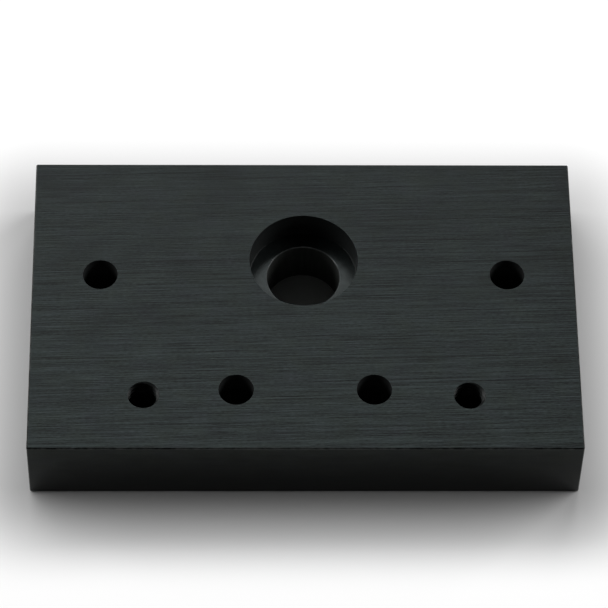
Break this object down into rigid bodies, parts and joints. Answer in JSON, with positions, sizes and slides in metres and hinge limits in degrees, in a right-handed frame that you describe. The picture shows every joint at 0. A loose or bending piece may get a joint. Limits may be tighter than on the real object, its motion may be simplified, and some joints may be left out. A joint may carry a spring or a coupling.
{
  "type": "machined mounting block",
  "caption": "Flat machined aluminium block with a stepped bore for a lead screw's ball bearing, plain end-screw holes and tapped holes for a motor flange.",
  "frame": {"origin": "middle of the plain face that the block lies on", "axes": "+X along the block, +Y towards the edge nearest the bore, +Z out of the bearing seat"},
  "size_m": [0.08, 0.05, 0.012],
  "materials": {
    "black_anodised": "black anodised over a brushed face"
  },
  "bodies": {
    "root": {"mounting_block": "black_anodised"}
  },
  "joints": []
}
